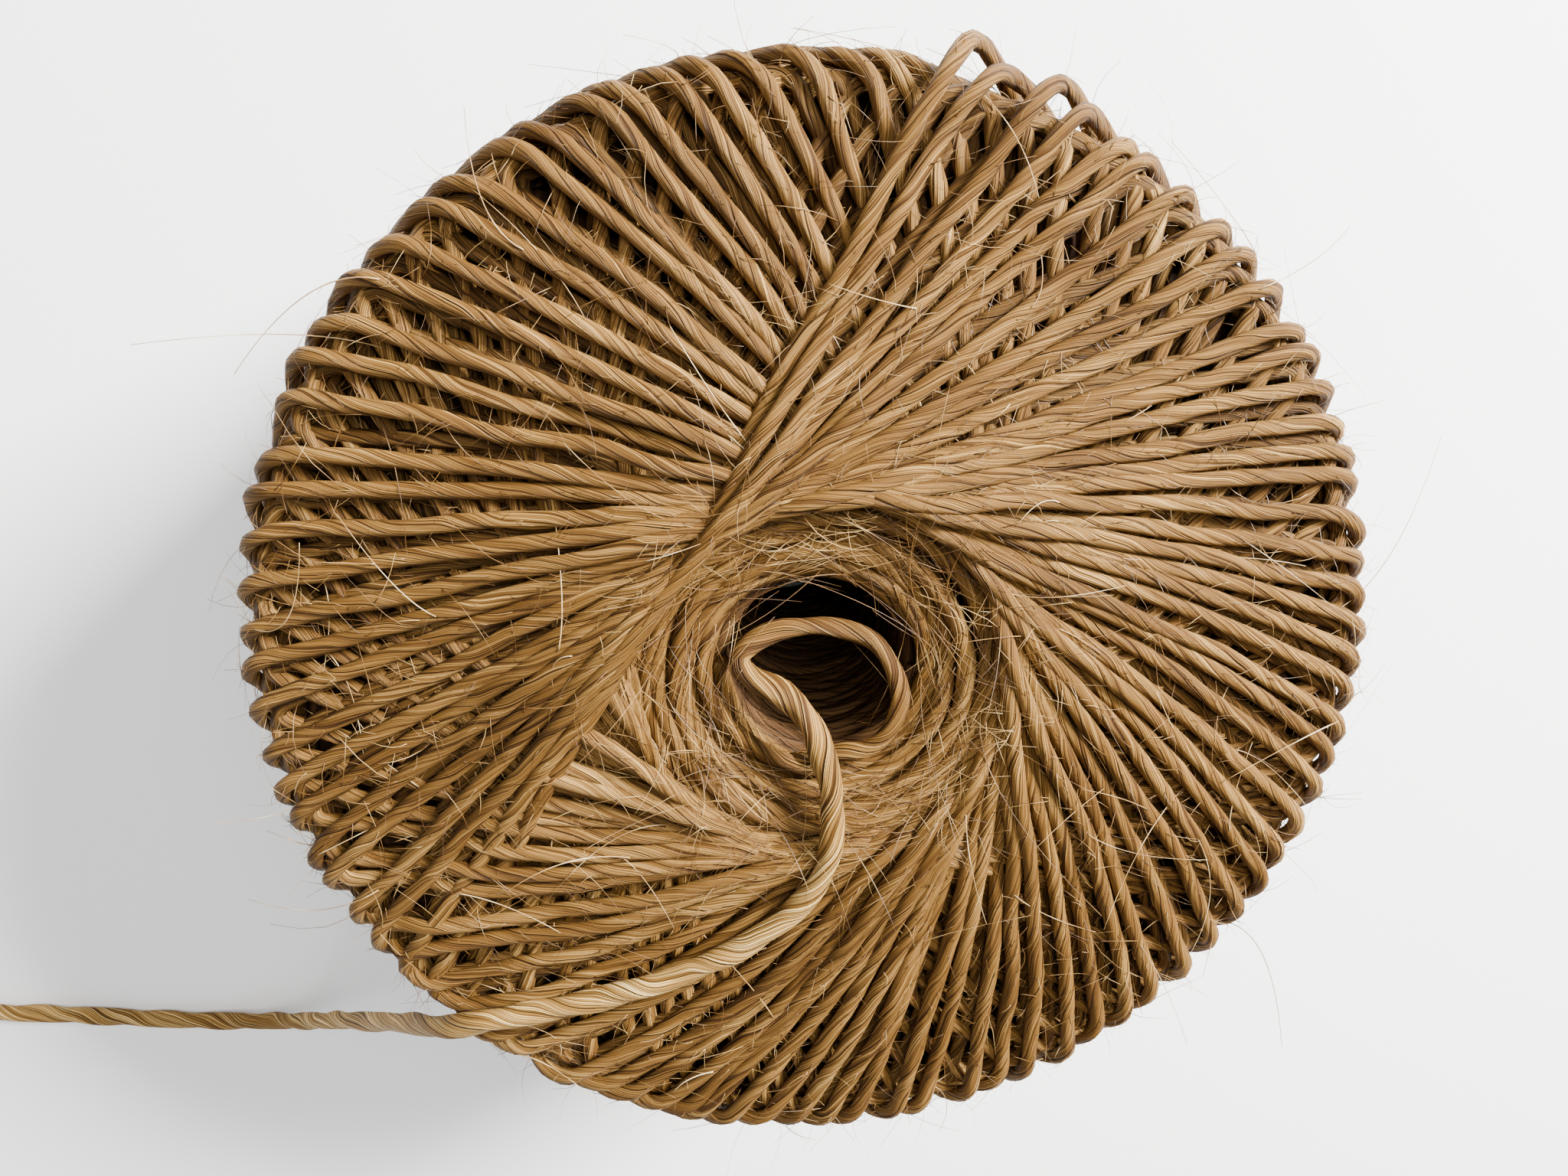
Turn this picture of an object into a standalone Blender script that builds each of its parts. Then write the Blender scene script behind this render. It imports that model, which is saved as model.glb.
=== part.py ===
"""A ball of single-ply sisal twine that stands on one flat end.

The twine is wound round a hollow core. Each loop of the last layer runs over the upper end,
where it just touches a circle round the core's mouth, down the side, and under the lower end,
where it touches the same circle from the other side. Each loop is turned a little from the one
before, so the loops make a swirl. The inner end of the twine is pulled up out of the core, lies
across the upper end, and comes down beside the ball to the surface that the ball stands on.

Metres, +Z up. The origin is on the ball's axis, at its foot.
"""

import math

import bpy
import numpy as np

# The ball's driving sizes
BALL_RADIUS = 0.068
BALL_HEIGHT = 0.082
TWINE = 0.0021
RIM_RADIUS = 0.019  # the circle that every loop touches at each end
FOOT_RADIUS = 0.036  # the lower end is pressed flat from the rim out to here
CORE_RADIUS = 0.0102

# How its outline is rounded
SHOULDER_RADIUS = 0.005
CROWN = 0.0060  # how far each end falls from its rim to its shoulder
CROWN_POWER = 1.4
SIDE_BULGE = 0.0008

# The swirl of the loops, as ridges with a groove on each side. There is one ridge for about two
# loops of twine.
RIDGES = 46
GROOVE_DEPTH = 0.0014
COLUMNS = 2 * RIDGES

# The loose end: its twist is open, so it is a little thicker than the wound twine
LOOSE_TWINE = 0.0028
LOOSE_STEP = 2.2 * LOOSE_TWINE

HALF = BALL_HEIGHT / 2
SHOULDER_START = BALL_RADIUS - SHOULDER_RADIUS

# Radii of the rings of points on an end, from the rim outwards
END_RINGS = (0.019, 0.0196, 0.0206, 0.022, 0.0245, 0.028, FOOT_RADIUS, 0.043, 0.050, 0.057, 0.0615)
# Directions of the points round a shoulder, in degrees above the horizontal
SHOULDER_RINGS = (76, 56, 36, 18, 3)
# Heights of the rings on the side, as shares of the straight side's half height
SIDE_RINGS = (0.55, 0.0, -0.55)
# The mouth of the core, from the rim inwards
#             radius, depth below the rim
MOUTH_RINGS = (
    (0.0168, 0.0008),
    (0.0142, 0.0018),
    (0.0120, 0.0028),
    (0.0108, 0.0042),
    (0.0103, 0.0066),
    (CORE_RADIUS, 0.0110),
)

# The loose end's route, from where it comes off the core's wall to its cut end
#    x,       y,       z
LOOSE_ROUTE = (
    (0.0027, -0.0096, 0.0801),
    (0.0059, -0.0090, 0.0805),
    (0.0084, -0.0068, 0.0805),
    (0.0096, -0.0034, 0.0800),
    (0.0088, 0.0005, 0.0789),
    (0.0060, 0.0038, 0.0779),
    (0.0014, 0.0053, 0.0779),
    (-0.0040, 0.0052, 0.0784),
    (-0.0080, 0.0037, 0.0792),
    (-0.0094, 0.0018, 0.0800),
    (-0.0076, 0.0000, 0.0810),
    (-0.0040, -0.0018, 0.0820),
    (-0.0012, -0.0048, 0.0830),
    (0.0004, -0.0088, 0.0836),
    (0.0014, -0.0133, 0.0838),
    (0.0016, -0.0186, 0.0838),
    (0.0008, -0.0236, 0.0836),
    (-0.0022, -0.0286, 0.0832),
    (-0.0070, -0.0330, 0.0826),
    (-0.0124, -0.0366, 0.0820),
    (-0.0214, -0.0410, 0.0808),
    (-0.0312, -0.0446, 0.0793),
    (-0.0387, -0.0466, 0.0785),
    (-0.0428, -0.0479, 0.0777),
    (-0.0471, -0.0505, 0.0748),
    (-0.0524, -0.0561, 0.0668),
    (-0.0591, -0.0645, 0.0545),
    (-0.0672, -0.0739, 0.0413),
    (-0.0766, -0.0836, 0.0274),
    (-0.0868, -0.0925, 0.0150),
    (-0.0968, -0.0985, 0.0066),
    (-0.1074, -0.1012, 0.0026),
    (-0.1206, -0.1013, 0.0016),
    (-0.1401, -0.0997, 0.0016),
    (-0.1602, -0.0986, 0.0016),
)

SISAL = (0.36, 0.20, 0.078)
SISAL_OPEN = (0.44, 0.27, 0.12)
SISAL_ROUGHNESS = 0.72


def clear_scene():
    for thing in list(bpy.data.objects):
        bpy.data.objects.remove(thing, do_unlink=True)


def fibre_material(name, colour):
    material = bpy.data.materials.new(name)
    material.use_nodes = True
    shader = material.node_tree.nodes["Principled BSDF"]
    shader.inputs["Base Color"].default_value = (*colour, 1.0)
    shader.inputs["Roughness"].default_value = SISAL_ROUGHNESS
    shader.inputs["Metallic"].default_value = 0.0
    return material


def crown_drop(radius, flat_to):
    """How far an end has fallen at a radius: nothing out to flat_to, then a rising power of the way."""
    way = max(0.0, radius - flat_to) / (SHOULDER_START - flat_to)
    return CROWN * way**CROWN_POWER


def section():
    """Rows of (radius, height above mid-height, share of the groove depth, lean in radians).

    They go from the upper rim out over the end, down the side, in under the lower end, and up
    through the core to the upper rim again. A row's lean is the angle that a loop has turned
    through since the upper rim: a loop lies in a plane that leans past the core, so the cosine
    of its lean is rim radius * height / (half the ball's height * radius).
    """
    shoulder_height = HALF - CROWN - SHOULDER_RADIUS
    upper_end = [(r, HALF - crown_drop(r, RIM_RADIUS)) for r in END_RINGS]
    lower_end = [(r, -HALF + crown_drop(r, FOOT_RADIUS)) for r in END_RINGS]
    shoulder = [
        (
            SHOULDER_START + SHOULDER_RADIUS * math.cos(math.radians(a)),
            shoulder_height + SHOULDER_RADIUS * math.sin(math.radians(a)),
        )
        for a in SHOULDER_RINGS
    ]
    side = [
        (BALL_RADIUS + SIDE_BULGE * (1 - share**2), share * shoulder_height)
        for share in SIDE_RINGS
    ]
    outside = upper_end + shoulder + side
    outside += [(r, -z) for r, z in reversed(shoulder)] + lower_end[::-1]
    lower_mouth = [(r, depth - HALF) for r, depth in MOUTH_RINGS]
    upper_mouth = [(r, HALF - depth) for r, depth in MOUTH_RINGS]
    core = lower_mouth + [(CORE_RADIUS, 0.0)] + upper_mouth[::-1]

    rows = []
    for radius, height in outside:
        flat_to = RIM_RADIUS if height > 0 else FOOT_RADIUS
        groove = min(1.0, max(0.0, radius - flat_to) / (3 * TWINE))
        lean = math.acos(max(-1.0, min(1.0, RIM_RADIUS * height / (HALF * radius))))
        rows.append((radius, height, groove, lean))
    rows += [(radius, height, 0.0, math.pi) for radius, height in core]
    return np.array(rows)


def make_ball():
    """One closed ring-shaped surface: a grid of the section's rows by the swirl's columns.

    Even columns run along the ridges and odd ones along the grooves between them, which are
    sunk along the section's normal. A loop turns half a circle from the upper rim to the lower
    one, so the last row meets the first half the columns further round.
    """
    radius, height, groove, lean = section().T
    along_r = np.roll(radius, -1) - np.roll(radius, 1)
    along_z = np.roll(height, -1) - np.roll(height, 1)
    size = np.hypot(along_r, along_z)
    sunk = GROOVE_DEPTH * groove[:, None] * (np.arange(COLUMNS) % 2)
    r = radius[:, None] + (along_z / size)[:, None] * sunk
    z = height[:, None] - (along_r / size)[:, None] * sunk
    turn = np.arange(COLUMNS) * (2 * math.pi / COLUMNS) - lean[:, None]
    points = np.stack([r * np.cos(turn), r * np.sin(turn), z + HALF], axis=-1)

    rows = len(radius)
    index = np.arange(rows * COLUMNS).reshape(rows, COLUMNS)
    index = np.vstack([index, np.roll(index[0], COLUMNS // 2)])
    near, far = index[:-1], index[1:]
    faces = np.stack([near, far, np.roll(far, -1, axis=1), np.roll(near, -1, axis=1)], axis=-1)

    mesh = bpy.data.meshes.new("ball")
    mesh.from_pydata(points.reshape(-1, 3).tolist(), [], faces.reshape(-1, 4).tolist())
    mesh.validate()
    mesh.shade_smooth()
    mesh.materials.append(fibre_material("sisal_twine", SISAL))
    ball = bpy.data.objects.new("ball", mesh)
    bpy.context.collection.objects.link(ball)
    return ball


def smooth_route(points, step):
    """Points about a step apart on a smooth curve through the given ones.

    It is a Catmull-Rom curve: between two points it is the cubic that leaves each one parallel
    to the line between that point's neighbours.
    """
    route = np.array(points)
    ends = np.vstack([2 * route[0] - route[1], route, 2 * route[-1] - route[-2]])
    share = np.linspace(0.0, 1.0, 24, endpoint=False)[:, None]
    pieces = []
    for before, start, end, after in zip(ends, ends[1:], ends[2:], ends[3:]):
        pieces.append(
            start
            + 0.5 * share * (end - before)
            + share**2 * (before - 2.5 * start + 2 * end - 0.5 * after)
            + share**3 * (1.5 * (start - end) + 0.5 * (after - before))
        )
    fine = np.vstack([*pieces, route[-1:]])
    length = np.concatenate([[0.0], np.cumsum(np.linalg.norm(np.diff(fine, axis=0), axis=1))])
    count = round(length[-1] / step) + 1
    wanted = np.linspace(0.0, length[-1], count)
    return np.stack([np.interp(wanted, length, fine[:, k]) for k in range(3)], axis=1)


def make_loose_end():
    line = smooth_route(LOOSE_ROUTE, LOOSE_STEP)
    curve = bpy.data.curves.new("loose_end", "CURVE")
    curve.dimensions = "3D"
    curve.bevel_depth = LOOSE_TWINE / 2
    curve.bevel_resolution = 2
    curve.use_fill_caps = True
    spline = curve.splines.new("POLY")
    spline.points.add(len(line) - 1)
    for point, place in zip(spline.points, line):
        point.co = (*place, 1.0)
    curve.materials.append(fibre_material("sisal_loose", SISAL_OPEN))
    loose_end = bpy.data.objects.new("loose_end", curve)
    bpy.context.collection.objects.link(loose_end)
    return loose_end


clear_scene()
make_ball()
make_loose_end()
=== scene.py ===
"""A ball of sisal string: its camera and light, its winding, the nest of turns round its core,
its loose end and its stray fibres. Metres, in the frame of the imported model."""

import math

import bpy
import numpy as np
from mathutils import Matrix, Vector


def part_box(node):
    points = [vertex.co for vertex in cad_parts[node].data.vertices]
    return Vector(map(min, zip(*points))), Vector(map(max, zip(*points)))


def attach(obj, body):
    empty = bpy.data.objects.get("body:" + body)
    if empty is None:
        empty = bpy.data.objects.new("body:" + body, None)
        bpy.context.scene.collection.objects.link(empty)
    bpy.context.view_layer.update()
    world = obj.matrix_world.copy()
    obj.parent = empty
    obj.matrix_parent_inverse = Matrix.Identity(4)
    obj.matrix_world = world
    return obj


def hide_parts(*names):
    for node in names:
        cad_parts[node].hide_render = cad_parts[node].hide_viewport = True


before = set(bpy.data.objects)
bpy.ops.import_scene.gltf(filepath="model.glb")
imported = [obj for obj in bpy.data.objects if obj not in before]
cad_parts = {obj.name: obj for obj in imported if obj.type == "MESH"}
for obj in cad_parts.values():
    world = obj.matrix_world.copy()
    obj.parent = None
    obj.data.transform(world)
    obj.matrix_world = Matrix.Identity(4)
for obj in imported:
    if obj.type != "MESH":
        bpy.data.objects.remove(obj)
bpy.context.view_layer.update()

# ---------------------------------------------------------------------------------------------
# The camera is held close above the ball, a little behind its upper end's middle, and tipped
# forward. Its field is that of a phone's main camera.
# ---------------------------------------------------------------------------------------------
BALL_HEIGHT = float(list(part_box("ball"))[1][2])
CAMERA_PLACE = Vector((-0.0117, 0.0478, 0.2088))
CAMERA_TIP = math.radians(16.4)  # between the ball's axis and the line of sight
CAMERA_ROLL = math.radians(10.8)  # which way the axis seems to lean, from straight down
LENS, SENSOR = 27.03, 36.0

axis_seen = Vector((
    math.sin(CAMERA_TIP) * math.sin(CAMERA_ROLL),
    -math.sin(CAMERA_TIP) * math.cos(CAMERA_ROLL),
    math.cos(CAMERA_TIP),
))
across_seen = Vector((0.0, 1.0, 0.0)).cross(axis_seen).normalized()
up_seen = axis_seen.cross(across_seen)

camera_data = bpy.data.cameras.new("camera")
camera_data.lens = LENS
camera_data.sensor_width = SENSOR
camera_data.clip_start, camera_data.clip_end = 0.005, 10.0
camera = bpy.data.objects.new("camera", camera_data)
bpy.context.collection.objects.link(camera)
camera.matrix_world = Matrix.Translation(CAMERA_PLACE) @ Matrix((
    across_seen, up_seen, axis_seen,
)).to_4x4()
bpy.context.scene.camera = camera

# ---------------------------------------------------------------------------------------------
# Studio light: a big soft panel from the upper right, a weaker one overhead and a faint fill,
# over a plain white floor.
# ---------------------------------------------------------------------------------------------
LIGHTS = (
    # name, place, side, watts, colour
    ("key_panel", (0.58, 0.46, 0.50), 0.26, 60.0, (1.0, 0.985, 0.96)),
    ("top_panel", (0.15, 0.35, 0.90), 0.50, 9.0, (1.0, 0.995, 0.99)),
    ("fill_panel", (-0.60, -0.50, 0.55), 0.90, 4.0, (0.98, 0.99, 1.0)),
)
for name, place, side, watts, colour in LIGHTS:
    lamp = bpy.data.lights.new(name, "AREA")
    lamp.shape = "SQUARE"
    lamp.size = side
    lamp.energy = watts
    lamp.color = colour
    lamp_object = bpy.data.objects.new(name, lamp)
    bpy.context.collection.objects.link(lamp_object)
    lamp_object.location = place
    towards_ball = Vector((0.0, 0.0, BALL_HEIGHT / 2)) - Vector(place)
    lamp_object.rotation_euler = towards_ball.to_track_quat("-Z", "Y").to_euler()

world = bpy.data.worlds.new("studio")
world.use_nodes = True
world.node_tree.nodes["Background"].inputs["Color"].default_value = (1.0, 1.0, 1.0, 1.0)
world.node_tree.nodes["Background"].inputs["Strength"].default_value = 0.23
bpy.context.scene.world = world


class Wire:
    """One output of a shader node. Arithmetic on wires adds Math nodes, and node() adds any
    other kind of node, with its settings first and then the values or wires of its sockets."""

    def __init__(self, tree, socket=None):
        self.tree = tree
        self.socket = socket

    def node(self, kind, settings=None, sockets=None, output=0):
        made = self.tree.nodes.new(kind)
        for key, value in (settings or {}).items():
            if key == "stops":
                ramp = made.color_ramp.elements
                while len(ramp) < len(value):
                    ramp.new(1.0)
                for stop, (place, colour) in zip(ramp, value):
                    stop.position = place
                    stop.color = (*colour, 1.0)
            else:
                setattr(made, key, value)
        for key, value in (sockets or {}).items():
            if isinstance(value, Wire):
                self.tree.links.new(value.socket, made.inputs[key])
            else:
                made.inputs[key].default_value = value
        return Wire(self.tree, made.outputs[output])

    def math(self, operation, *values):
        return self.node("ShaderNodeMath", {"operation": operation}, dict(enumerate(values)))

    def __add__(self, other):
        return self.math("ADD", self, other)

    def __radd__(self, other):
        return self.math("ADD", other, self)

    def __sub__(self, other):
        return self.math("SUBTRACT", self, other)

    def __rsub__(self, other):
        return self.math("SUBTRACT", other, self)

    def __mul__(self, other):
        return self.math("MULTIPLY", self, other)

    def __rmul__(self, other):
        return self.math("MULTIPLY", other, self)


floor_mesh = bpy.data.meshes.new("floor")
FLOOR_HALF = 3.0
floor_mesh.from_pydata(
    [(x, y, 0.0) for x, y in ((-1, -1), (1, -1), (1, 1), (-1, 1))], [], [(0, 1, 2, 3)]
)
floor_mesh.transform(Matrix.Scale(FLOOR_HALF, 4))
floor_material = bpy.data.materials.new("floor_white")
floor_material.use_nodes = True
floor_shader = floor_material.node_tree.nodes["Principled BSDF"]
floor_shader.inputs["Base Color"].default_value = (0.97, 0.97, 0.97, 1.0)
floor_shader.inputs["Roughness"].default_value = 0.9
floor_mesh.materials.append(floor_material)
floor = bpy.data.objects.new("floor", floor_mesh)
bpy.context.collection.objects.link(floor)

# ---------------------------------------------------------------------------------------------
# The ball's form: a barrel with two crowned ends, as its maker's machine winds it. Every turn of
# the winding lies at some depth below this outline.
# ---------------------------------------------------------------------------------------------
BALL_RADIUS = 0.0690
RIM_RADIUS = 0.0195
SHOULDER_RADIUS = 0.0045
CROWN = 0.0058
CROWN_POWER = 1.4
SIDE_BULGE = 0.0008
FACE_POINTS = 240  # points of the outline across an end
HALF = BALL_HEIGHT / 2
FACE_END = BALL_RADIUS - SHOULDER_RADIUS


def outline():
    """The upper half of the ball's outline as arrays of radius, height and the way along it.

    From the core's mouth outwards it is a crown, half height - crown * (way out) ** power; then
    a quarter circle round the shoulder; then a side that bulges as 1 - (height share) ** 2.
    """
    face = np.linspace(0.010, FACE_END, FACE_POINTS)
    way_out = np.clip(face - RIM_RADIUS, 0, None) / (FACE_END - RIM_RADIUS)
    face_height = HALF - CROWN * way_out**CROWN_POWER
    turn = np.linspace(math.pi / 2, 0, 60)[1:]
    shoulder_height = HALF - CROWN - SHOULDER_RADIUS
    share = np.linspace(1, 0, 60)[1:]
    radius = np.concatenate([
        face,
        FACE_END + SHOULDER_RADIUS * np.cos(turn),
        BALL_RADIUS + SIDE_BULGE * (1 - share**2),
    ])
    height = np.concatenate([
        face_height,
        shoulder_height + SHOULDER_RADIUS * np.sin(turn),
        shoulder_height * share,
    ])
    way = np.concatenate([[0], np.cumsum(np.hypot(np.diff(radius), np.diff(height)))])
    return radius, height, way


OUT_RADIUS, OUT_HEIGHT, OUT_WAY = outline()
RIM_WAY = float(np.interp(RIM_RADIUS, OUT_RADIUS[:FACE_POINTS], OUT_WAY[:FACE_POINTS]))
SHOULDER_WAY = float(np.interp(FACE_END, OUT_RADIUS[:FACE_POINTS], OUT_WAY[:FACE_POINTS]))
MIDDLE_WAY = float(OUT_WAY[-1])


def on_outline(way):
    """Radius, height and outward normal at a way along the outline, from the upper mouth.

    Past the middle of the side it is the mirror image, so the whole way is twice the half's.
    """
    upper = way <= MIDDLE_WAY
    folded = np.where(upper, way, 2 * MIDDLE_WAY - way)
    step = 0.0004
    radius = np.interp(folded, OUT_WAY, OUT_RADIUS)
    height = np.interp(folded, OUT_WAY, OUT_HEIGHT)
    run_r = np.interp(folded + step, OUT_WAY, OUT_RADIUS) - np.interp(
        folded - step, OUT_WAY, OUT_RADIUS
    )
    run_z = np.interp(folded + step, OUT_WAY, OUT_HEIGHT) - np.interp(
        folded - step, OUT_WAY, OUT_HEIGHT
    )
    size = np.hypot(run_r, run_z)
    sign = np.where(upper, 1.0, -1.0)
    return radius, sign * height, -run_z / size, sign * run_r / size


# ---------------------------------------------------------------------------------------------
# The winding: one thread, laid loop after loop. A loop crosses the upper end in a straight line
# past the rim, goes down the side, crosses the lower end past the other side of the rim, and
# comes up again, and each loop is turned a few degrees from the one before.
# ---------------------------------------------------------------------------------------------
THREAD_RADIUS = 0.00101
LOOPS_A_TURN = 86
TURNS_LAID = 3
LAST_LOOP_AT = math.radians(151)
# How far from the axis the loops' straight runs point, by how long ago they were laid: newer
# loops aim closer to the rim
RUNS_AIM = (
    # degrees turned since, distance from the axis
    (0, 0.0205), (48, 0.0210), (62, 0.0232), (75, 0.0248), (92, 0.0270), (128, 0.0266),
    (168, 0.0252), (192, 0.0290), (208, 0.0330), (224, 0.0290), (250, 0.0265), (290, 0.0285),
    (360, 0.0285),
)
BEND_IN = 0.024  # a run bends in to the rim over about this length
LYING_HEIGHT = 1.16 * THREAD_RADIUS  # of a thread's middle, where it lies on the floor
FACE_STEPS, SIDE_STEPS = 140, 104

rng = np.random.default_rng(7)
loop_count = LOOPS_A_TURN * TURNS_LAID
loop_step = 2 * math.pi / LOOPS_A_TURN
loop_age = np.arange(loop_count)[::-1].astype(float)  # loops laid since this one
loop_turned = np.degrees(loop_age * loop_step)
aim_at, aim = np.array(RUNS_AIM).T
loop_aim = np.where(
    loop_turned < 360, np.interp(loop_turned, aim_at, aim), aim[-1]
) + rng.normal(0, 0.0003, loop_count)
loop_rim = RIM_RADIUS + THREAD_RADIUS + np.abs(rng.normal(0, 0.0006, loop_count))
loop_rim += np.where(loop_turned > 60, 0.0009, 0)
loop_at = LAST_LOOP_AT - loop_age * loop_step + rng.normal(0, 0.11 * loop_step, loop_count)
loop_at[-1] = LAST_LOOP_AT


def loop_quarter(rim, aim):
    """Ways along the outline and lean angles of a quarter loop, from the rim to mid-side.

    Over the end it is the line at a distance aim from the axis, drawn in to the rim by
    (aim - rim) * exp(-(run / BEND_IN) ** 2). Down the side its lean goes on to a right angle
    as a cubic that starts with the run's own slant.
    """
    rim, aim = rim[:, None], aim[:, None]
    longest = np.sqrt(FACE_END**2 - aim**2)
    run = np.linspace(0, 1, FACE_STEPS, endpoint=False) * longest
    aside = aim - (aim - rim) * np.exp(-((run / BEND_IN) ** 2))
    radius = np.hypot(aside, run)
    face_way = np.interp(radius, OUT_RADIUS[:FACE_POINTS], OUT_WAY[:FACE_POINTS])
    face_lean = np.arctan2(run, aside)
    start_lean = np.arctan2(longest, aim)
    slant = aim / longest / FACE_END
    down = np.linspace(0, 1, SIDE_STEPS, endpoint=False) + np.zeros_like(rim)
    long = MIDDLE_WAY - SHOULDER_WAY
    left = math.pi / 2 - start_lean
    side_lean = start_lean + slant * long * (down - down**2) * (1 - down)
    side_lean += left * (3 * down**2 - 2 * down**3)
    side_way = SHOULDER_WAY + long * down
    return np.hstack([face_way, side_way]), np.hstack([face_lean, side_lean])


def lay_out_loops():
    """The way along the outline and the azimuth of every point of every loop.

    A loop starts under the lower end, comes up one side, crosses the upper end and goes down
    the other side. Its azimuth also drifts by one loop's step, so that it meets the next loop.
    """
    way, lean = loop_quarter(loop_rim, loop_aim)
    low_aim = np.roll(loop_aim, LOOPS_A_TURN // 2) + rng.normal(0, 0.0008, loop_count)
    low_way, low_lean = loop_quarter(loop_rim, low_aim)
    middle = np.full((loop_count, 1), MIDDLE_WAY)
    right = np.full((loop_count, 1), math.pi / 2)
    down_way = np.hstack([way, middle, 2 * MIDDLE_WAY - low_way[:, :0:-1]])
    down_lean = np.hstack([lean, right, math.pi - low_lean[:, :0:-1]])
    whole_way = np.hstack([down_way[:, :0:-1], down_way])
    whole_lean = np.hstack([-down_lean[:, :0:-1], down_lean])
    azimuth = loop_at[:, None] - whole_lean + loop_step * whole_lean / (2 * math.pi)
    return whole_way, azimuth, whole_lean


def smooth_rows(values, reach):
    """A running mean along each row of an array, with the row's ends repeated."""
    count = 2 * reach + 1
    padded = np.pad(values, ((0, 0), (reach + 1, reach)), mode="edge")
    total = np.cumsum(padded, axis=1)
    return (total[:, count:] - total[:, :-count]) / count


def wobble_rows(rows, columns, waves, draw):
    """Smooth random rows of about unit size: sines of the given numbers of waves a row."""
    place = np.linspace(0, 2 * math.pi, columns)
    phase = draw.uniform(0, 2 * math.pi, (len(waves), rows, 1))
    size = draw.normal(0, 1, (len(waves), rows, 1))
    wave = np.array(waves)[:, None, None] * (1 + draw.uniform(-0.2, 0.2, (len(waves), rows, 1)))
    return (size * np.sin(wave * place + phase)).sum(axis=0) / math.sqrt(0.5 * len(waves))


LAYER_STEP = 0.0020  # from one layer's middle to the next one's, pressed together
PILE_AT_RIM = 0.0042  # the last turn of loops climbs by this much round the rim
PILE_SPREAD = 0.014
# Round the rim each loop also lies a little higher or lower than its place
HEAP_SIZE, HEAP_LIMITS, HEAP_SPREAD = 0.0011, (-0.0024, 0.0015), 0.021
# The newest loops are slack, and stand off the shoulder
LOOPS_STANDING = (
    # loops laid since, height, lean in degrees
    (0, 0.0034, 76), (2, 0.0026, 76), (3, 0.0010, 75), (1, 0.0012, 77),
)


def lay_threads(whole_lean, radius):
    """Depth of the thread's middle at every point of every loop.

    At any place the last layer's loops cross those laid earlier. With u the turns laid since
    and q the lean's share of half a circle, the number of layers above a loop is
    floor(u) + max(0, ceil(u mod 1 - (1 - q))) on the arm that runs clockwise and
    floor(u) + max(0, ceil(u mod 1 - q)) on the other. Round the rim the loops also climb.
    """
    u = (loop_age / LOOPS_A_TURN)[:, None]
    q = np.abs(whole_lean) / math.pi
    part = u % 1
    covered = np.where(whole_lean > 0, part > 1 - q, part > q)
    above = smooth_rows(smooth_rows(np.floor(u) + covered, 5), 4)
    depth = -THREAD_RADIUS - LAYER_STEP * above
    near_rim = np.exp(-(((radius - RIM_RADIUS) / PILE_SPREAD) ** 2))
    depth += PILE_AT_RIM * (0.62 - u) * near_rim
    heaped = np.exp(-(((radius - RIM_RADIUS) / HEAP_SPREAD) ** 2))
    depth += rng.normal(0, HEAP_SIZE, (loop_count, 1)).clip(*HEAP_LIMITS) * heaped
    depth += 0.00022 * wobble_rows(*radius.shape, (5, 9, 16), rng)
    for age, lift, lean in LOOPS_STANDING:
        bow = np.exp(-(((np.degrees(whole_lean[-1 - age]) - lean) / 5.5) ** 2))
        depth[-1 - age] += lift * bow
    return depth


loop_way, loop_azimuth, loop_lean = lay_out_loops()
loop_radius = on_outline(loop_way)[0]
thread_depth = lay_threads(loop_lean, loop_radius)
loop_azimuth += 0.00020 * wobble_rows(*loop_radius.shape, (6, 11, 21), rng) / loop_radius


def from_outline(way, azimuth, depth):
    """Points at a depth (up positive) along the normal from the ball's outline."""
    radius, height, normal_r, normal_z = on_outline(way)
    out = radius + normal_r * depth
    up = HALF + height + normal_z * depth
    return np.stack([out * np.cos(azimuth), out * np.sin(azimuth), up], axis=-1)


thread_points = from_outline(loop_way, loop_azimuth, thread_depth)
thread_points[..., 2] = np.maximum(thread_points[..., 2], LYING_HEIGHT)


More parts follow.
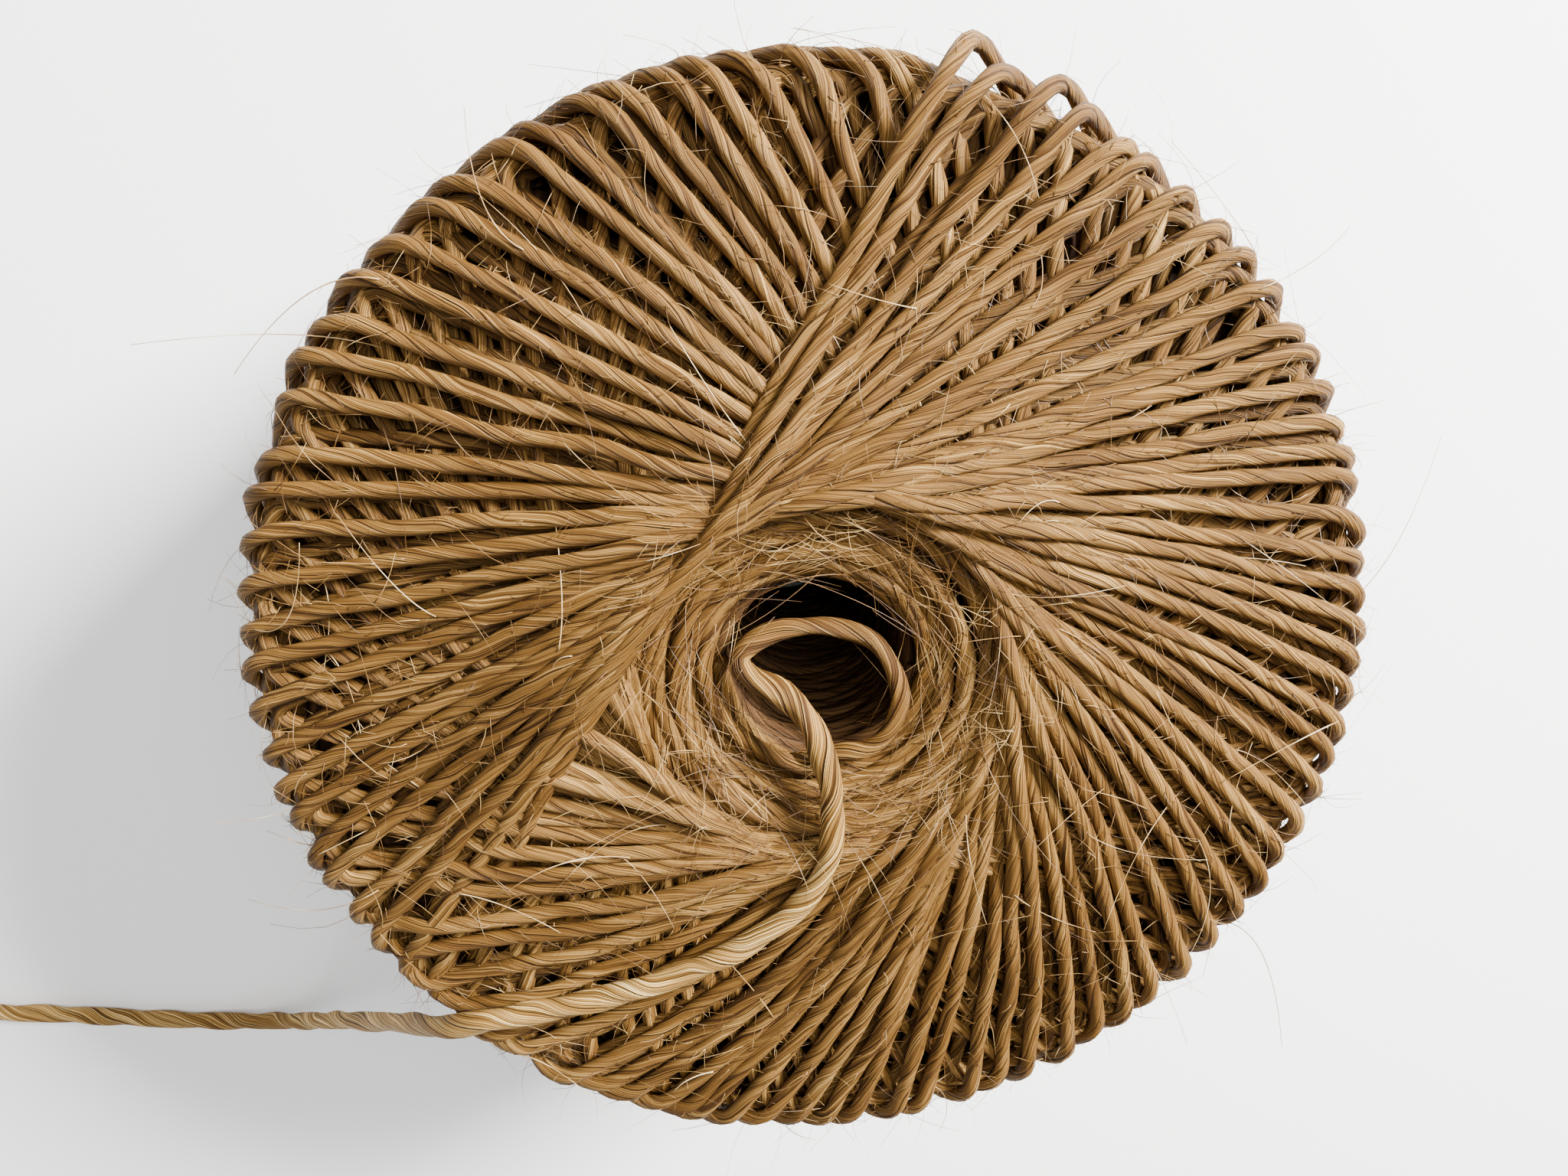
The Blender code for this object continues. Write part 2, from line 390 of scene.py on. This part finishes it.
def tube(name, points, radius, sides, ripple=(0.0, 0.0), pitch=0.020, phase=0.0, twist=1.0):
    """A twisted thread: rings of points carried along a path, as one mesh.

    A ring's radius is radius * (1 + ripple 1 * cos(2 a) + ripple 2 * cos(3 a)), where a is the
    angle round the thread less the twist, one right-handed turn for each pitch of length.
    Where the thread has opened, twist is the share of its turning that is left at each step. The
    UV map holds the length along the thread in metres, times that share, and the share of the
    way round it. What would go below the floor is pressed flat on it.
    """
    count = len(points)
    ahead = np.gradient(points, axis=0)
    ahead /= np.linalg.norm(ahead, axis=1)[:, None]
    start = np.cross(ahead[0], (0.31, 0.52, 0.79))
    normals = carried_normals(ahead, start / np.linalg.norm(start))
    sideways = np.cross(ahead, normals)
    steps = np.linalg.norm(np.diff(points, axis=0), axis=1)
    length = np.concatenate([[0], np.cumsum(steps * twist)])
    around = np.arange(sides) * (2 * math.pi / sides)
    twisted = around - (2 * math.pi * length / pitch + phase)[:, None]
    wide = radius * (1 + ripple[0] * np.cos(2 * twisted) + ripple[1] * np.cos(3 * twisted))
    ring = (
        points[:, None]
        + (wide * np.cos(around))[..., None] * normals[:, None]
        + (wide * np.sin(around))[..., None] * sideways[:, None]
    )
    ring[..., 2] = np.maximum(ring[..., 2], 0.0001)
    index = np.arange(count * sides).reshape(count, sides)
    near, far = index[:-1], index[1:]
    quads = np.stack(
        [near, np.roll(near, -1, axis=1), np.roll(far, -1, axis=1), far], axis=-1
    ).reshape(-1, 4)
    share = np.arange(sides + 1) / sides
    flat_u = np.broadcast_to(length[:, None], (count, sides + 1))
    flat_v = np.broadcast_to(share, (count, sides + 1))
    uv = np.stack([flat_u, flat_v], axis=-1)
    quad_uv = np.stack(
        [uv[:-1, :-1], uv[:-1, 1:], uv[1:, 1:], uv[1:, :-1]], axis=2
    ).reshape(-1, 2)

    mesh = bpy.data.meshes.new(name)
    faces = quads.tolist() + [index[0, ::-1].tolist(), index[-1].tolist()]
    mesh.from_pydata(ring.reshape(-1, 3).tolist(), [], faces)
    end_uv = np.vstack([uv[0, :sides][::-1], uv[-1, :sides]])
    layer = mesh.uv_layers.new(name="thread")
    layer.data.foreach_set("uv", np.vstack([quad_uv, end_uv]).astype(np.float32).ravel())
    mesh.shade_smooth()
    piece = bpy.data.objects.new(name, mesh)
    bpy.context.collection.objects.link(piece)
    return piece


def carried_normals(ahead, start):
    """A normal at each point of a path that turns with it and doesn't spin round it.

    Each is the last one with its part along the new direction taken off.
    """
    normals = np.empty_like(ahead)
    normal = start
    for k, direction in enumerate(ahead):
        normal = normal - direction * (normal @ direction)
        normal /= np.linalg.norm(normal)
        normals[k] = normal
    return normals


def sisal(name, colours, bump=0.00050, pitch=0.020, groove_shade=0.20, shaded_to=0.0, streaks=1.0):
    """Sisal fibres that wind round the thread: noise on coordinates that turn once a pitch.

    The coordinates are cos and sin of the angle round the thread less the twist, and the length
    squeezed, so the noise makes long streaks along the twist. Between the fibre bundles run
    grooves, where abs(sin(2 * angle)) is small, and groove_shade darkens the colour there as
    painted shade. The colour is also darkened as painted shade up to the length shaded_to, for
    where the thread lies deep in the core's mouth, and streaks is how strongly single fibres show.
    """
    material = bpy.data.materials.new(name)
    material.use_nodes = True
    tree = material.node_tree
    shader = tree.nodes["Principled BSDF"]
    base = Wire(tree)
    uv = base.node("ShaderNodeUVMap", {"uv_map": "thread"})
    split = base.node("ShaderNodeSeparateXYZ", sockets={0: uv})
    along = split
    round_share = Wire(tree, split.socket.node.outputs[1])
    place = base.node("ShaderNodeTexCoord", output=3)
    wander = base.node(
        "ShaderNodeTexNoise", {"noise_dimensions": "1D"}, {"W": along * 30.0, "Detail": 0.0}
    )
    angle = round_share * (2 * math.pi) - along * (2 * math.pi / pitch) + wander * 1.4
    swept = base.node("ShaderNodeCombineXYZ", sockets={
        0: angle.math("COSINE", angle) * 0.0012,
        1: angle.math("SINE", angle) * 0.0012,
        2: along * 0.006,
    })
    bundles = base.node(
        "ShaderNodeTexNoise", sockets={"Vector": swept, "Scale": 1700.0, "Detail": 0.0}
    )
    fibres = base.node(
        "ShaderNodeTexNoise", sockets={"Vector": swept, "Scale": 8500.0, "Detail": 2.0}
    )
    patches = base.node(
        "ShaderNodeTexNoise", sockets={"Vector": place, "Scale": 70.0, "Detail": 3.0}
    )
    lengths = base.node(
        "ShaderNodeTexNoise", {"noise_dimensions": "1D"}, {"W": along * 6.0, "Detail": 1.0}
    )
    crest = angle.math("ABSOLUTE", angle.math("SINE", angle * 2.0 + bundles * 2.4))
    groove = crest.math("POWER", 1.0 - crest, 4.0)
    tone = bundles * 0.22 + (fibres - 0.5) * streaks + (patches - 0.5) * 0.26 + (lengths - 0.5) * 0.22
    # Painted shade: the colour darkens in the grooves between the fibre bundles
    tone = tone + 0.40 - groove * groove_shade
    # Painted shade: the colour darkens towards the thread's start, which lies deep in the core's
    # mouth
    if shaded_to:
        start_shade = base.node(
            "ShaderNodeMapRange", {"interpolation_type": "SMOOTHSTEP"},
            {0: along, 1: shaded_to - 0.040, 2: shaded_to, 3: 0.22, 4: 0.0},
        )
        tone = tone - start_shade
    stops = [(0.26, colours[0]), (0.42, colours[1]), (0.58, colours[2]), (0.76, colours[3])]
    tint = base.node("ShaderNodeValToRGB", {"stops": stops}, {0: tone})
    tree.links.new(tint.socket, shader.inputs["Base Color"])
    relief = bundles * 0.35 + fibres * 0.50 - groove * 0.50
    lifted = base.node("ShaderNodeBump", sockets={
        "Strength": 1.0, "Distance": bump, "Height": relief,
    })
    tree.links.new(lifted.socket, shader.inputs["Normal"])
    shader.inputs["Roughness"].default_value = 0.62
    shader.inputs["Specular IOR Level"].default_value = 0.14
    return material


# Colours of sisal, from the shade between fibres to the sun-bleached ones
SISAL_COLOURS = (
    (0.032, 0.0125, 0.0020), (0.092, 0.041, 0.0075), (0.170, 0.083, 0.0170), (0.46, 0.28, 0.090),
)
# Painted shade: sisal's colours darkened for the turns down the core's wall, deep in its hole
CORE_WALL_SHADE_COLOURS = (
    (0.010, 0.004, 0.001), (0.036, 0.015, 0.004), (0.075, 0.034, 0.010), (0.16, 0.085, 0.030),
)
# Painted shade: sisal's colours darkened for the turn under the last layer, as if in its shade
UNDER_SHADE_COLOURS = (
    (0.014, 0.0052, 0.0008), (0.050, 0.0215, 0.0034), (0.105, 0.050, 0.0100),
    (0.30, 0.180, 0.056),
)

# The thread's rings: close together round the shoulders, further apart on the straight runs
quarter_rings = np.concatenate([
    np.arange(0, FACE_STEPS, 7),
    np.arange(FACE_STEPS, FACE_STEPS + 27, 3),
    np.arange(FACE_STEPS + 27, FACE_STEPS + SIDE_STEPS, 9),
])
half_way = FACE_STEPS + SIDE_STEPS
half_rings = np.concatenate([quarter_rings, 2 * half_way - quarter_rings[::-1]])
top_point = 2 * half_way - 1
loop_rings = np.unique(np.concatenate([top_point - half_rings, top_point + half_rings]))
loop_rings = loop_rings[(loop_rings >= 0) & (loop_rings < loop_way.shape[1])]

last_layer_material = sisal("sisal_last_layer", SISAL_COLOURS)
under_layer_material = sisal("sisal_under_layer_shaded", UNDER_SHADE_COLOURS)


def winding(name, first, last, sides, material, phase):
    """The loops from first to last of the thread, as one tube."""
    points = thread_points[first:last, loop_rings].reshape(-1, 3)
    piece = tube(name, points, THREAD_RADIUS, sides, ripple=(0.07, 0.05), phase=phase)
    piece.data.materials.append(material)
    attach(piece, "root")


half_turn = LOOPS_A_TURN // 2
# The last two turns of loops, in halves: the outer turn has rounder tubes than the one below it,
# and the one below is coloured darker as painted shade
WINDINGS = (
    # name, half turns from the newest loop to the start and to the end, sides, material
    ("last_layer_older", 2, 1, 8, last_layer_material),
    ("last_layer_newer", 1, 0, 8, last_layer_material),
    ("under_layer_older", 4, 3, 6, under_layer_material),
    ("under_layer_newer", 3, 2, 6, under_layer_material),
)
for phase, (name, back_from, back_to, sides, material) in enumerate(WINDINGS):
    first, last = loop_count - back_from * half_turn, loop_count - back_to * half_turn
    winding(name, first, last, sides, material, float(phase))

# ---------------------------------------------------------------------------------------------
# The body under the winding: the turns laid before, packed close, so that only their backs show
# in the gaps. It is a barrel round the hollow core, ridged both ways.
# ---------------------------------------------------------------------------------------------
BODY_DEPTH = 0.0074
CORE_RADIUS = 0.0112
BODY_COLUMNS, BODY_FACE_ROWS, BODY_CORE_ROWS = 300, 130, 24


def body():
    """A closed grid round the core: out over the upper end, down, in below, up the core.

    Two families of rounded ridges cross on it, |cos| of the azimuth times a count plus or minus
    the lean, and the higher of the two stands.
    """
    way = np.linspace(RIM_WAY - 0.004, 2 * MIDDLE_WAY - RIM_WAY + 0.004, BODY_FACE_ROWS)
    radius, height, normal_r, normal_z = on_outline(way)
    lean = np.arccos(np.clip(0.034 * height / HALF / radius, -1, 1))
    azimuth = np.arange(BODY_COLUMNS) * (2 * math.pi / BODY_COLUMNS)
    ridges = np.maximum(
        np.abs(np.cos(38 * (azimuth + lean[:, None]))),
        0.9 * np.abs(np.cos(38 * (azimuth - lean[:, None]) + 0.7)),
    )
    fade = np.clip((radius - RIM_RADIUS) / 0.012, 0, 1)
    depth = (-BODY_DEPTH - 0.0016 * (1 - fade))[:, None]
    depth = depth + 0.0013 * ridges * (0.2 + 0.8 * fade)[:, None]
    out = radius[:, None] + normal_r[:, None] * depth
    up = HALF + height[:, None] + normal_z[:, None] * depth
    core_up = np.linspace(up[-1].mean() + 0.002, up[0].mean() - 0.002, BODY_CORE_ROWS)
    core_out = np.full((BODY_CORE_ROWS, BODY_COLUMNS), CORE_RADIUS)
    out = np.vstack([out, core_out])
    up = np.vstack([up, np.repeat(core_up[:, None], BODY_COLUMNS, axis=1)])
    points = np.stack([out * np.cos(azimuth), out * np.sin(azimuth), up], axis=-1)
    rows = len(points)
    index = np.arange(rows * BODY_COLUMNS).reshape(rows, BODY_COLUMNS)
    far = np.roll(index, -1, axis=0)
    quads = np.stack(
        [index, far, np.roll(far, -1, axis=1), np.roll(index, -1, axis=1)], axis=-1
    ).reshape(-1, 4)
    mesh = bpy.data.meshes.new("wound_body")
    mesh.from_pydata(points.reshape(-1, 3).tolist(), [], quads.tolist())
    mesh.shade_smooth()
    piece = bpy.data.objects.new("wound_body", mesh)
    bpy.context.collection.objects.link(piece)
    return piece


def packed_fibre(name, colours):
    """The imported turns' fibre: streaks of noise drawn out along the body."""
    material = bpy.data.materials.new(name)
    material.use_nodes = True
    tree = material.node_tree
    shader = tree.nodes["Principled BSDF"]
    base = Wire(tree)
    place = base.node("ShaderNodeTexCoord", output=3)
    drawn = base.node(
        "ShaderNodeMapping", sockets={0: place, "Scale": (1.0, 0.35, 1.0)}
    )
    streaks = base.node(
        "ShaderNodeTexNoise", sockets={"Vector": drawn, "Scale": 900.0, "Detail": 4.0}
    )
    tint = base.node(
        "ShaderNodeValToRGB",
        {"stops": [(0.35, colours[0]), (0.52, colours[1]), (0.70, colours[2])]},
        {0: streaks},
    )
    tree.links.new(tint.socket, shader.inputs["Base Color"])
    lifted = base.node("ShaderNodeBump", sockets={
        "Strength": 1.0, "Distance": 0.0006, "Height": streaks,
    })
    tree.links.new(lifted.socket, shader.inputs["Normal"])
    shader.inputs["Roughness"].default_value = 0.85
    shader.inputs["Specular IOR Level"].default_value = 0.2
    return material


wound_body = body()
# Painted shade: the body is coloured far darker than sisal, for the shade in the gaps between the
# strands
wound_body.data.materials.append(packed_fibre("sisal_packed_shaded", (
    (0.008, 0.003, 0.0006), (0.024, 0.009, 0.002), (0.065, 0.030, 0.008),
)))
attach(wound_body, "root")
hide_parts("ball")

# ---------------------------------------------------------------------------------------------
# The nest: the oldest turns that show, coiled round the core's mouth and down its wall, looser
# and hairier than the rest.
# ---------------------------------------------------------------------------------------------
NEST_LAYERS = (
    # how high the layer lies, turns, seed
    (0.0000, 5.6, 3), (-0.0019, 5.2, 4), (-0.0036, 4.6, 6),
)
NEST_OUT, NEST_IN = 0.0212, 0.0117
WALL_STEP = 0.0021  # from one turn down the core's wall to the next


def nest_path(lift, turns, seed):
    """A spiral from under the rim in to the core's mouth, dipping towards it.

    Its depth is 2.2 mm at the rim and 4.8 mm at the mouth, as a square. Its radius and its height
    also wander by sums of three sines that don't fit whole turns.
    """
    draw = np.random.default_rng(seed)
    share = np.linspace(0, 1, int(turns * 44))
    angle = draw.uniform(0, 6.3) - 2 * math.pi * turns * share
    wander = [
        sum(
            np.sin(angle * rate + draw.uniform(0, 6.3)) * size
            for rate, size in ((0.81, 0.00060), (1.63, 0.00048), (2.72, 0.00030))
        )
        for _ in range(2)
    ]
    radius = NEST_OUT + (NEST_IN - NEST_OUT) * share + wander[0]
    radius = np.maximum(radius, NEST_IN - 0.0002)
    height = lift - 0.0022 - 0.0026 * share**2 + wander[1]
    return np.stack([radius * np.cos(angle), radius * np.sin(angle), height], axis=-1)


def wall_path():
    """A helix down the core's wall, from the upper mouth to the lower one."""
    top, bottom = BALL_HEIGHT - 0.0055, 0.0055
    turns = (top - bottom) / WALL_STEP
    share = np.linspace(0, 1, int(turns * 30))
    angle = -2 * math.pi * turns * share
    radius = 0.0117 + 0.0003 * np.sin(angle * 1.37) + 0.0002 * np.sin(angle * 0.61)
    height = top + (bottom - top) * share + 0.0004 * np.sin(angle * 0.77)
    return np.stack([radius * np.cos(angle), radius * np.sin(angle), height], axis=-1)


nest_material = sisal("sisal_nest", SISAL_COLOURS)
# The core's wall is coloured with painted shade
wall_material = sisal("sisal_core_wall_shaded", CORE_WALL_SHADE_COLOURS)
nest_pieces = []
for number, (lift, turns, seed) in enumerate(NEST_LAYERS):
    path = nest_path(lift, turns, seed)
    above_floor = np.maximum(-path[:, 2], 1.3 * THREAD_RADIUS)
    for end, height in (("upper", BALL_HEIGHT + path[:, 2]), ("lower", above_floor)):
        placed = np.column_stack([path[:, :2], height])
        nest = tube(
            f"nest_{end}_{number}", placed, 1.1 * THREAD_RADIUS, 10, ripple=(0.08, 0.06), phase=seed
        )
        nest.data.materials.append(nest_material)
        nest_pieces.append(nest)
core_wall = tube("core_wall", wall_path(), THREAD_RADIUS, 6)
core_wall.data.materials.append(wall_material)
for piece in (*nest_pieces, core_wall):
    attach(piece, "root")

# ---------------------------------------------------------------------------------------------
# The loose end: the inner end of the thread, drawn up out of the core. Its twist has opened, so
# it is thicker, paler and flatter. It rests on the ball's rim and end and then on the floor.
# ---------------------------------------------------------------------------------------------
# The same route as in the part's source
LOOSE_ROUTE = (
    (0.0027, -0.0096, 0.0801), (0.0059, -0.0090, 0.0805), (0.0084, -0.0068, 0.0805),
    (0.0096, -0.0034, 0.0800), (0.0088, 0.0005, 0.0789), (0.0060, 0.0038, 0.0779),
    (0.0014, 0.0053, 0.0779), (-0.0040, 0.0052, 0.0784), (-0.0080, 0.0037, 0.0792),
    (-0.0094, 0.0018, 0.0800), (-0.0076, 0.0000, 0.0810), (-0.0040, -0.0018, 0.0820),
    (-0.0012, -0.0048, 0.0830), (0.0004, -0.0088, 0.0836), (0.0014, -0.0133, 0.0838),
    (0.0016, -0.0186, 0.0838), (0.0008, -0.0236, 0.0836), (-0.0022, -0.0286, 0.0832),
    (-0.0070, -0.0330, 0.0826), (-0.0124, -0.0366, 0.0820), (-0.0214, -0.0410, 0.0808),
    (-0.0312, -0.0446, 0.0793), (-0.0387, -0.0466, 0.0785), (-0.0428, -0.0479, 0.0777),
    (-0.0471, -0.0505, 0.0748), (-0.0524, -0.0561, 0.0668), (-0.0591, -0.0645, 0.0545),
    (-0.0672, -0.0739, 0.0413), (-0.0766, -0.0836, 0.0274), (-0.0868, -0.0925, 0.0150),
    (-0.0968, -0.0985, 0.0066), (-0.1074, -0.1012, 0.0026), (-0.1206, -0.1013, 0.0016),
    (-0.1401, -0.0997, 0.0016), (-0.1602, -0.0986, 0.0016),
)


def smooth_route(points, step):
    """Points about a step apart on a smooth curve through the given ones.

    It is a Catmull-Rom curve: between two points it is the cubic that leaves each one parallel
    to the line between that point's neighbours.
    """
    route = np.array(points)
    ends = np.vstack([2 * route[0] - route[1], route, 2 * route[-1] - route[-2]])
    share = np.linspace(0.0, 1.0, 24, endpoint=False)[:, None]
    pieces = [
        start
        + 0.5 * share * (end - before)
        + share**2 * (before - 2.5 * start + 2 * end - 0.5 * after)
        + share**3 * (1.5 * (start - end) + 0.5 * (after - before))
        for before, start, end, after in zip(ends, ends[1:], ends[2:], ends[3:])
    ]
    fine = np.vstack([*pieces, route[-1:]])
    length = np.concatenate([[0.0], np.cumsum(np.linalg.norm(np.diff(fine, axis=0), axis=1))])
    wanted = np.linspace(0.0, length[-1], round(length[-1] / step) + 1)
    return np.stack([np.interp(wanted, length, fine[:, k]) for k in range(3)], axis=1)


# Its very start is tucked under the nest's turns
TUCKED_START = ((-0.0046, -0.0128, 0.0760), (-0.0012, -0.0112, 0.0781))
# Its thickness changes with how far its twist has opened
THICKNESS = (
    # length from the start, radius
    (0.000, 0.00080), (0.012, 0.00106), (0.036, 0.00112), (0.046, 0.00140), (0.056, 0.00156),
    (0.070, 0.00138), (0.110, 0.00146), (0.160, 0.00142), (0.190, 0.00148), (0.293, 0.00156),
)
loose_line = smooth_route(TUCKED_START + LOOSE_ROUTE, 0.0011)
loose_length = np.concatenate(
    [[0], np.cumsum(np.linalg.norm(np.diff(loose_line, axis=0), axis=1))]
)
thick_at, thick = np.array(THICKNESS).T
loose_radius = np.interp(loose_length, thick_at, thick)
# Where it falls off the ball its twist has opened most
loose_twist = np.interp(loose_length[1:], (0.125, 0.145, 0.190, 0.225), (1.0, 0.30, 0.30, 0.8))
loose_end = tube(
    "loose_string", loose_line, loose_radius[:, None], 16, ripple=(0.10, 0.05), pitch=0.019,
    twist=loose_twist,
)
LOOSE_COLOURS = (
    (0.045, 0.018, 0.0028), (0.165, 0.080, 0.0155), (0.39, 0.225, 0.060), (0.90, 0.67, 0.29),
)
# Painted shade darkens its first 4 cm, the turn deep in the core's mouth, fading out by 8 cm
loose_end.data.materials.append(sisal(
    "sisal_loose_end", LOOSE_COLOURS, bump=0.00055, pitch=0.019, groove_shade=0.18, shaded_to=0.082,
    streaks=1.25,
))
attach(loose_end, "root")
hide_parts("loose_end")

# ---------------------------------------------------------------------------------------------
# Stray fibres: broken ends of sisal that stand out of the thread all over the ball, thickest
# round the core's mouth. Each is a thin, three-sided, tapered bristle.
# ---------------------------------------------------------------------------------------------
FIBRES_ON_WINDING, FIBRES_ROUND_MOUTH, LONG_FIBRES = 7200, 460, 190
FIBRES_BETWEEN = 6500


def bristles(name, roots, normals, along, lengths, thickness, seed, rings=5, curl=1.0,
             rise=0.75):
    """Bent bristles from points on a surface, as one mesh.

    A bristle's middle line is root + length * (t * direction + t ** 2 * bend), where t goes from
    0 to 1 in rings, the direction leans from the thread's own towards the normal, and the bend is
    mostly sideways. Its ring is a triangle that thins to the tip.
    """
    draw = np.random.default_rng(seed)
    count = len(roots)
    side = np.cross(normals, along)
    lean = draw.uniform(0.02, rise, (count, 1))
    swing = draw.normal(0, 0.55, (count, 1))
    way = np.sign(draw.uniform(-1, 1, (count, 1)))
    direction = way * along + swing * side + lean * normals
    direction /= np.linalg.norm(direction, axis=1)[:, None]
    bend = np.clip(curl * draw.normal(0, 0.50, (count, 1)), -0.9, 0.9) * side
    bend -= draw.uniform(-0.1, 0.40, (count, 1)) * normals
    t = np.linspace(0, 1, rings)[None, :, None]
    line = roots[:, None] + lengths[:, None, None] * (
        t * direction[:, None] + t**2 * bend[:, None]
    )
    ahead = direction[:, None] + 2 * t * bend[:, None]
    ahead /= np.linalg.norm(ahead, axis=2)[..., None]
    one = np.cross(ahead, normals[:, None])
    one /= np.maximum(np.linalg.norm(one, axis=2), 1e-6)[..., None]
    two = np.cross(ahead, one)
    corner = np.arange(3) * (2 * math.pi / 3)
    thin = thickness[:, None, None] * (1 - 0.55 * t)
    ring = line[:, :, None] + thin[..., None] * (
        np.cos(corner)[:, None] * one[:, :, None] + np.sin(corner)[:, None] * two[:, :, None]
    )
    ring[..., 2] = np.maximum(ring[..., 2], 0.0002)
    index = np.arange(count * rings * 3).reshape(count, rings, 3)
    near, far = index[:, :-1], index[:, 1:]
    quads = np.stack(
        [near, np.roll(near, -1, axis=2), np.roll(far, -1, axis=2), far], axis=-1
    ).reshape(-1, 4)
    caps = np.vstack([index[:, 0, ::-1], index[:, -1]])
    mesh = bpy.data.meshes.new(name)
    mesh.from_pydata(ring.reshape(-1, 3).tolist(), [], quads.tolist() + caps.tolist())
    mesh.shade_smooth()
    piece = bpy.data.objects.new(name, mesh)
    bpy.context.collection.objects.link(piece)
    return piece


def bleached_fibre(name, colours):
    """Single fibres: each takes its colour from where it is, by a noise over the ball."""
    material = bpy.data.materials.new(name)
    material.use_nodes = True
    tree = material.node_tree
    shader = tree.nodes["Principled BSDF"]
    base = Wire(tree)
    place = base.node("ShaderNodeTexCoord", output=3)
    spread = base.node("ShaderNodeTexNoise", sockets={"Vector": place, "Scale": 160.0})
    stops = [(0.40, colours[0]), (0.52, colours[1]), (0.66, colours[2])]
    tint = base.node("ShaderNodeValToRGB", {"stops": stops}, {0: spread})
    tree.links.new(tint.socket, shader.inputs["Base Color"])
    shader.inputs["Roughness"].default_value = 0.45
    return material


def outward(way, azimuth):
    """The ball's outward normal at ways along the outline and azimuths round it."""
    _, _, normal_r, normal_z = on_outline(way)
    return np.stack([normal_r * np.cos(azimuth), normal_r * np.sin(azimuth), normal_z], axis=-1)


fibre_rng = np.random.default_rng(21)
dense = thread_points[loop_count - LOOPS_A_TURN:]
dense_way = loop_way[loop_count - LOOPS_A_TURN:]
dense_turn = loop_azimuth[loop_count - LOOPS_A_TURN:]
dense_depth = thread_depth[loop_count - LOOPS_A_TURN:]
dense_ahead = np.gradient(dense, axis=1)
dense_ahead /= np.linalg.norm(dense_ahead, axis=2)[..., None]
on_top = np.argwhere((dense_depth > -0.0036) & (dense[..., 2] > 0.006))
picked = on_top[fibre_rng.integers(0, len(on_top), FIBRES_ON_WINDING)]
pick = (picked[:, 0], picked[:, 1])
fibre_normals = outward(dense_way[pick], dense_turn[pick])
fibre_roots = dense[pick] + 0.9 * THREAD_RADIUS * fibre_normals
fibre_lengths = 0.0016 + fibre_rng.gamma(1.1, 0.0021, FIBRES_ON_WINDING).clip(0, 0.018)
fibre_thickness = fibre_rng.uniform(0.000025, 0.00006, FIBRES_ON_WINDING)
winding_fibres = bristles(
    "stray_fibres", fibre_roots, fibre_normals, dense_ahead[pick], fibre_lengths,
    fibre_thickness, 22,
)

mouth_turn = fibre_rng.uniform(0, 2 * math.pi, FIBRES_ROUND_MOUTH)
mouth_radius = fibre_rng.uniform(0.0120, 0.0215, FIBRES_ROUND_MOUTH)
mouth_height = BALL_HEIGHT - np.interp(
    mouth_radius, (0.0105, 0.0120, 0.0150, 0.0200), (0.0060, 0.0030, 0.0018, 0.0008)
)
mouth_roots = np.stack(
    [mouth_radius * np.cos(mouth_turn), mouth_radius * np.sin(mouth_turn), mouth_height], axis=-1
)
mouth_along = np.stack([-np.sin(mouth_turn), np.cos(mouth_turn), 0 * mouth_turn], axis=-1)
mouth_normals = np.stack(
    [-0.35 * np.cos(mouth_turn), -0.35 * np.sin(mouth_turn), 0.94 + 0 * mouth_turn], axis=-1
)
mouth_fibres = bristles(
    "mouth_fibres", mouth_roots, mouth_normals, mouth_along,
    0.0030 + fibre_rng.gamma(1.8, 0.0032, FIBRES_ROUND_MOUTH).clip(0, 0.015),
    fibre_rng.uniform(0.00004, 0.00008, FIBRES_ROUND_MOUTH), 23, rings=10, curl=1.5,
)
long_picked = on_top[fibre_rng.integers(0, len(on_top), LONG_FIBRES)]
long_pick = (long_picked[:, 0], long_picked[:, 1])
long_normals = outward(dense_way[long_pick], dense_turn[long_pick])
long_fibres = bristles(
    "long_fibres", dense[long_pick] + THREAD_RADIUS * long_normals, long_normals,
    dense_ahead[long_pick], fibre_rng.uniform(0.005, 0.019, LONG_FIBRES),
    fibre_rng.uniform(0.00005, 0.00010, LONG_FIBRES), 24, rings=14, curl=1.8, rise=0.30,
)
# Frayed fibres between the strands, on the loops that others have covered
wound_last = slice(loop_count - 2 * LOOPS_A_TURN, None)
deep, deep_depth = thread_points[wound_last], thread_depth[wound_last]
deep_way, deep_azimuth = loop_way[wound_last], loop_azimuth[wound_last]
deep_ahead = np.gradient(deep, axis=1)
deep_ahead /= np.linalg.norm(deep_ahead, axis=2)[..., None]
below = np.argwhere((deep_depth < -0.0026) & (deep_depth > -0.0085) & (deep[..., 2] > 0.030))
deep_picked = below[fibre_rng.integers(0, len(below), FIBRES_BETWEEN)]
deep_pick = (deep_picked[:, 0], deep_picked[:, 1])
deep_normals = outward(deep_way[deep_pick], deep_azimuth[deep_pick])
swept = fibre_rng.uniform(-1.3, 1.3, (FIBRES_BETWEEN, 1))
deep_along = deep_ahead[deep_pick]
deep_along = np.cos(swept) * deep_along + np.sin(swept) * np.cross(deep_normals, deep_along)
between_fibres = bristles(
    "frayed_fibres", deep[deep_pick] + 0.7 * THREAD_RADIUS * deep_normals, deep_normals,
    deep_along, 0.0022 + fibre_rng.gamma(1.6, 0.0016, FIBRES_BETWEEN).clip(0, 0.009),
    fibre_rng.uniform(0.00004, 0.00008, FIBRES_BETWEEN), 25,
)
fibre_material = bleached_fibre("sisal_stray", (
    (0.07, 0.030, 0.005), (0.15, 0.071, 0.015), (0.42, 0.27, 0.10),
))
pale_material = bleached_fibre("sisal_bleached", (
    (0.24, 0.13, 0.04), (0.42, 0.26, 0.10), (0.72, 0.56, 0.32),
))
for piece in (winding_fibres, mouth_fibres, long_fibres, between_fibres):
    piece.data.materials.append(pale_material if piece == long_fibres else fibre_material)
    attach(piece, "root")
